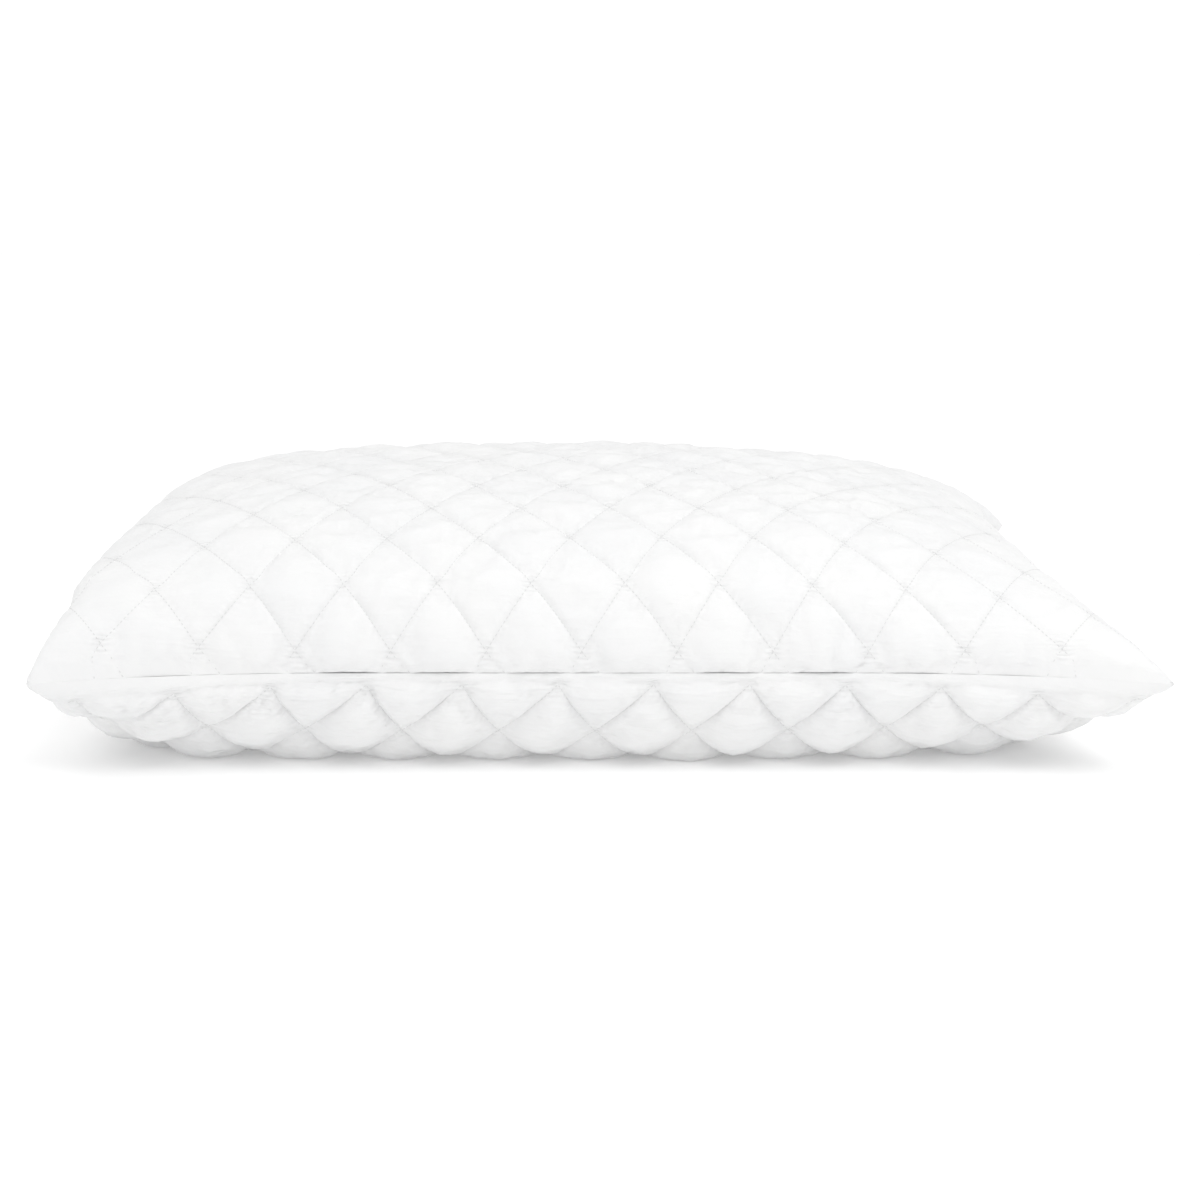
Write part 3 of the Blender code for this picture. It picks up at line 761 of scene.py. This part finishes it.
def cloth_material(name, colour, roughness, scale, sheen=0.0):
    """A plain woven cloth on object coordinates, for the small pieces and the inner pillow."""
    n = Nodes(name)
    place = n.add("ShaderNodeTexCoord").outputs["Object"]
    weave = n.add("ShaderNodeTexNoise", {"Vector": place, "Scale": scale, "Detail": 4.0}).outputs[0]
    bump = n.add("ShaderNodeBump", {"Strength": 0.4, "Distance": 0.0002, "Height": weave})
    n.link(bump.outputs[0], "Normal")
    shade = n.add("ShaderNodeValToRGB", {0: weave})
    shade.color_ramp.elements[0].color = (*[c * 0.95 for c in colour], 1)
    shade.color_ramp.elements[1].color = (*colour, 1)
    n.link(shade.outputs[0], "Base Color")
    n.shader.inputs["Roughness"].default_value = roughness
    n.shader.inputs["Sheen Weight"].default_value = sheen
    return n.material


def thread_material():
    """Spun polyester thread, its twist as a fine slanting ripple."""
    n = Nodes("sewing_thread")
    place = n.add("ShaderNodeTexCoord").outputs["Object"]
    lay = n.add("ShaderNodeMapping", {"Vector": place, "Rotation": (0.4, 0.7, 0.5)}).outputs[0]
    twist = n.add("ShaderNodeTexWave", {"Vector": lay, "Scale": 900.0, "Distortion": 1.5}).outputs[1]
    bump = n.add("ShaderNodeBump", {"Strength": 0.5, "Distance": 0.00005, "Height": twist})
    n.link(bump.outputs[0], "Normal")
    shade = n.add("ShaderNodeValToRGB", {0: twist})
    shade.color_ramp.elements[0].color = (0.66, 0.66, 0.66, 1)
    shade.color_ramp.elements[1].color = (0.78, 0.78, 0.78, 1)
    n.link(shade.outputs[0], "Base Color")
    n.shader.inputs["Roughness"].default_value = 0.55
    n.shader.inputs["Sheen Weight"].default_value = 0.15
    return n.material


def satin_material():
    """Woven satin label: long floats along its length, with a low gloss."""
    n = Nodes("label_satin")
    place = n.add("ShaderNodeTexCoord").outputs["Object"]
    across = n.add("ShaderNodeSeparateXYZ", {0: place})
    floats = n.math("SINE", n.math("MULTIPLY", across.outputs[0], 2 * math.pi / 0.0003))
    grain = n.add("ShaderNodeTexNoise", {"Vector": place, "Scale": 1800.0, "Detail": 3.0}).outputs[0]
    satin_height = n.math("ADD", floats, grain)
    bump = n.add("ShaderNodeBump", {"Strength": 0.3, "Distance": 0.00003, "Height": satin_height})
    n.link(bump.outputs[0], "Normal")
    shade = n.add("ShaderNodeValToRGB", {0: grain})
    shade.color_ramp.elements[0].color = (0.86, 0.86, 0.87, 1)
    shade.color_ramp.elements[1].color = (0.91, 0.91, 0.92, 1)
    n.link(shade.outputs[0], "Base Color")
    n.shader.inputs["Roughness"].default_value = 0.38
    n.shader.inputs["Sheen Weight"].default_value = 0.1
    return n.material


def tape_material():
    """Zip tape: a herringbone twill whose slant turns every 1.1 mm of its width."""
    n = Nodes("zip_tape_cloth")
    place = n.add("ShaderNodeTexCoord").outputs["Object"]
    axes = n.add("ShaderNodeSeparateXYZ", {0: place})
    turn = n.math("SIGN", n.math("SINE", n.math("MULTIPLY", axes.outputs[2], math.pi / 0.0011)))
    slant = n.math("ADD", axes.outputs[1], n.math("MULTIPLY", axes.outputs[2], turn))
    twill = n.math("SINE", n.math("MULTIPLY", slant, 2 * math.pi / 0.0006))
    bump = n.add("ShaderNodeBump", {"Strength": 0.6, "Distance": 0.00008, "Height": twill})
    n.link(bump.outputs[0], "Normal")
    lightness = n.add("ShaderNodeMapRange", {0: twill, 1: -1.0, 2: 1.0}).outputs[0]
    shade = n.add("ShaderNodeValToRGB", {0: lightness})
    shade.color_ramp.elements[0].color = (0.74, 0.74, 0.74, 1)
    shade.color_ramp.elements[1].color = (0.85, 0.85, 0.84, 1)
    n.link(shade.outputs[0], "Base Color")
    n.shader.inputs["Roughness"].default_value = 0.8
    return n.material


def zip_metal_material():
    """Nickel-plated zinc, brushed by use."""
    n = Nodes("zip_metal")
    place = n.add("ShaderNodeTexCoord").outputs["Object"]
    streaks = n.add("ShaderNodeMapping", {"Vector": place, "Scale": (900.0, 150.0, 900.0)}).outputs[0]
    rub = n.add("ShaderNodeTexNoise", {"Vector": streaks, "Scale": 3.0, "Detail": 4.0}).outputs[0]
    rough = n.add("ShaderNodeMapRange", {0: rub, 3: 0.22, 4: 0.42}).outputs[0]
    n.link(rough, "Roughness")
    bump = n.add("ShaderNodeBump", {"Strength": 0.2, "Distance": 0.00005, "Height": rub})
    n.link(bump.outputs[0], "Normal")
    n.shader.inputs["Base Color"].default_value = (0.46, 0.46, 0.47, 1)
    n.shader.inputs["Metallic"].default_value = 1.0
    return n.material


def plastic_material():
    n = Nodes("zip_plastic")
    place = n.add("ShaderNodeTexCoord").outputs["Object"]
    grain = n.add("ShaderNodeTexNoise", {"Vector": place, "Scale": 2500.0, "Detail": 2.0}).outputs[0]
    bump = n.add("ShaderNodeBump", {"Strength": 0.1, "Distance": 0.00005, "Height": grain})
    n.link(bump.outputs[0], "Normal")
    rough = n.add("ShaderNodeMapRange", {0: grain, 3: 0.35, 4: 0.5}).outputs[0]
    n.link(rough, "Roughness")
    n.shader.inputs["Base Color"].default_value = (0.85, 0.85, 0.84, 1)
    return n.material


def floor_material():
    n = Nodes("pale_floor")
    place = n.add("ShaderNodeTexCoord").outputs["Object"]
    grain = n.add("ShaderNodeTexNoise", {"Vector": place, "Scale": 3.0, "Detail": 3.0}).outputs[0]
    rough = n.add("ShaderNodeMapRange", {0: grain, 3: 0.85, 4: 0.95}).outputs[0]
    n.link(rough, "Roughness")
    n.shader.inputs["Base Color"].default_value = (0.87, 0.87, 0.87, 1)
    n.shader.inputs["Emission Color"].default_value = (1, 1, 1, 1)
    n.shader.inputs["Emission Strength"].default_value = 0.17
    n.shader.inputs["Specular IOR Level"].default_value = 0.0
    return n.material


# ---------------------------------------------------------------- camera, light, floor


def add_camera():
    camera = bpy.data.objects.new("camera", bpy.data.cameras.new("camera"))
    bpy.context.scene.collection.objects.link(camera)
    camera.location = (0.0, -1.331, 0.348)
    camera.rotation_euler = (math.radians(90.0 - 12.5), 0.0, 0.0)
    camera.data.lens, camera.data.sensor_width = 60.42, 36.0
    bpy.context.scene.camera = camera


def add_area(name, place, target, size, power):
    light = bpy.data.objects.new(name, bpy.data.lights.new(name, "AREA"))
    light.data.shape, light.data.size, light.data.energy = "DISK", size, power
    light.location = place
    light.rotation_euler = (Vector(target) - Vector(place)).to_track_quat("-Z", "Y").to_euler()
    bpy.context.scene.collection.objects.link(light)


DOME_GREYS, DOME_STRENGTH = (0.58, 0.31, 0.27, 0.74), 2.09  # from the horizon to straight up


def add_light():
    world = bpy.data.worlds.new("studio")
    world.use_nodes = True
    tree = world.node_tree
    up = tree.nodes.new("ShaderNodeSeparateXYZ")
    tree.links.new(tree.nodes.new("ShaderNodeTexCoord").outputs["Generated"], up.inputs[0])
    dome = tree.nodes.new("ShaderNodeValToRGB")
    tree.links.new(up.outputs[2], dome.inputs[0])
    dome.color_ramp.elements[0].position = 0.06
    dome.color_ramp.elements[1].position = 1.0
    for place in (0.25, 0.55):
        dome.color_ramp.elements.new(place)
    for element, grey in zip(dome.color_ramp.elements, DOME_GREYS):
        element.color = (grey, grey, grey, 1)
    background = tree.nodes["Background"]
    tree.links.new(dome.outputs[0], background.inputs["Color"])
    background.inputs["Strength"].default_value = DOME_STRENGTH
    bpy.context.scene.world = world
    add_area("key", (0.7, -1.2, 1.9), (0, 0, 0.05), 1.2, 10.5)
    bpy.context.scene.view_settings.view_transform = "Standard"


def add_floor():
    bm = bmesh.new()
    bmesh.ops.create_grid(bm, x_segments=8, y_segments=8, size=6.0)
    mesh = bpy.data.meshes.new("floor")
    bm.to_mesh(mesh)
    bm.free()
    floor = bpy.data.objects.new("floor", mesh)
    bpy.context.scene.collection.objects.link(floor)
    floor.data.materials.append(floor_material())


# ---------------------------------------------------------------- build


def finish_piece(obj, made_of, replaces=()):
    """Gives a piece its material, the body it rides on and the CAD nodes it stands in for."""
    obj.data.materials.clear()
    obj.data.materials.append(made_of)
    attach(obj, "pillow")
    if replaces:
        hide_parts(*replaces)
    return obj


add_camera()
add_light()
add_floor()

thread = thread_material()
casing = cloth_material("casing_cotton", (0.88, 0.88, 0.87), 0.85, 1500.0)
fibre = cloth_material("polyester_fibre", (0.92, 0.92, 0.91), 0.95, 320.0)
overlock = cloth_material("overlock_thread", (0.84, 0.84, 0.83), 0.85, 2500.0)
satin = satin_material()
woven_tape = tape_material()
nylon = plastic_material()
metal = zip_metal_material()

panel_ends = {}
for word, surface, diamond_length, phase in (
    ("top", top_surface, TOP_DIAMOND, TOP_PHASE),
    ("bottom", under_surface, UNDER_DIAMOND, UNDER_PHASE),
):
    under = word == "bottom"
    panel, cloth, ends, stitched = quilted_panel(f"cover_{word}_panel", surface, diamond_length, phase, under)
    layers = [f"cover_{word}_{layer}" for layer in ("face", "wadding", "lining")]
    slack = UNDER_SLACK if under else TOP_SLACK
    cotton = cotton_material(f"quilted_cotton_{word}", diamond_length, phase, slack)
    finish_piece(panel, cotton, layers)
    lines = quilting_lines(cloth, ends, stitched, -1.0 if under else 1.0)
    finish_piece(thread_object(f"quilting_thread_{word}", lines), thread)
    panel_ends[word] = ends

inner = closed_pillow("inner_pillow", 0.0082, 0.0165, ((0.0005, 0.030), (0.0002, 0.009)), 11)
finish_piece(inner, casing, ("casing_top", "casing_bottom"))
filling = closed_pillow("inner_fibre", 0.0106, 0.0190, ((0.0009, 0.022), (0.0004, 0.007)), 12)
finish_piece(filling, fibre, ("fibre_fill",))
cover_edge = overlocked_edge("cover_seam_allowance", 0.0030, 0.0120, closed=False)
finish_piece(cover_edge, overlock, ("cover_seam_binding",))
casing_edge = overlocked_edge("inner_pillow_seam", 0.0132, 0.0164, closed=True)
finish_piece(casing_edge, overlock, ("casing_seam",))

label = finish_piece(add_label(panel_ends["bottom"]), satin, ("care_label",))

for word, side in (("upper", 1), ("lower", -1)):
    finish_piece(add_tape(f"zip_tape_{word}_woven", side), woven_tape, (f"zip_tape_{word}",))
    finish_piece(add_coil(f"zip_coil_{word}", side), nylon, (f"zip_teeth_{word}",))
    finish_piece(add_coil_thread(f"zip_coil_thread_{word}", side), thread)

for name in ("zip_slider", "zip_puller", "zip_top_stop_upper", "zip_top_stop_lower", "zip_bottom_stop"):
    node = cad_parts[name]
    node.data.materials.clear()
    node.data.materials.append(metal)
    rounding = node.modifiers.new("rounding", "BEVEL")
    rounding.width, rounding.segments, rounding.angle_limit = 0.00018, 2, math.radians(40)
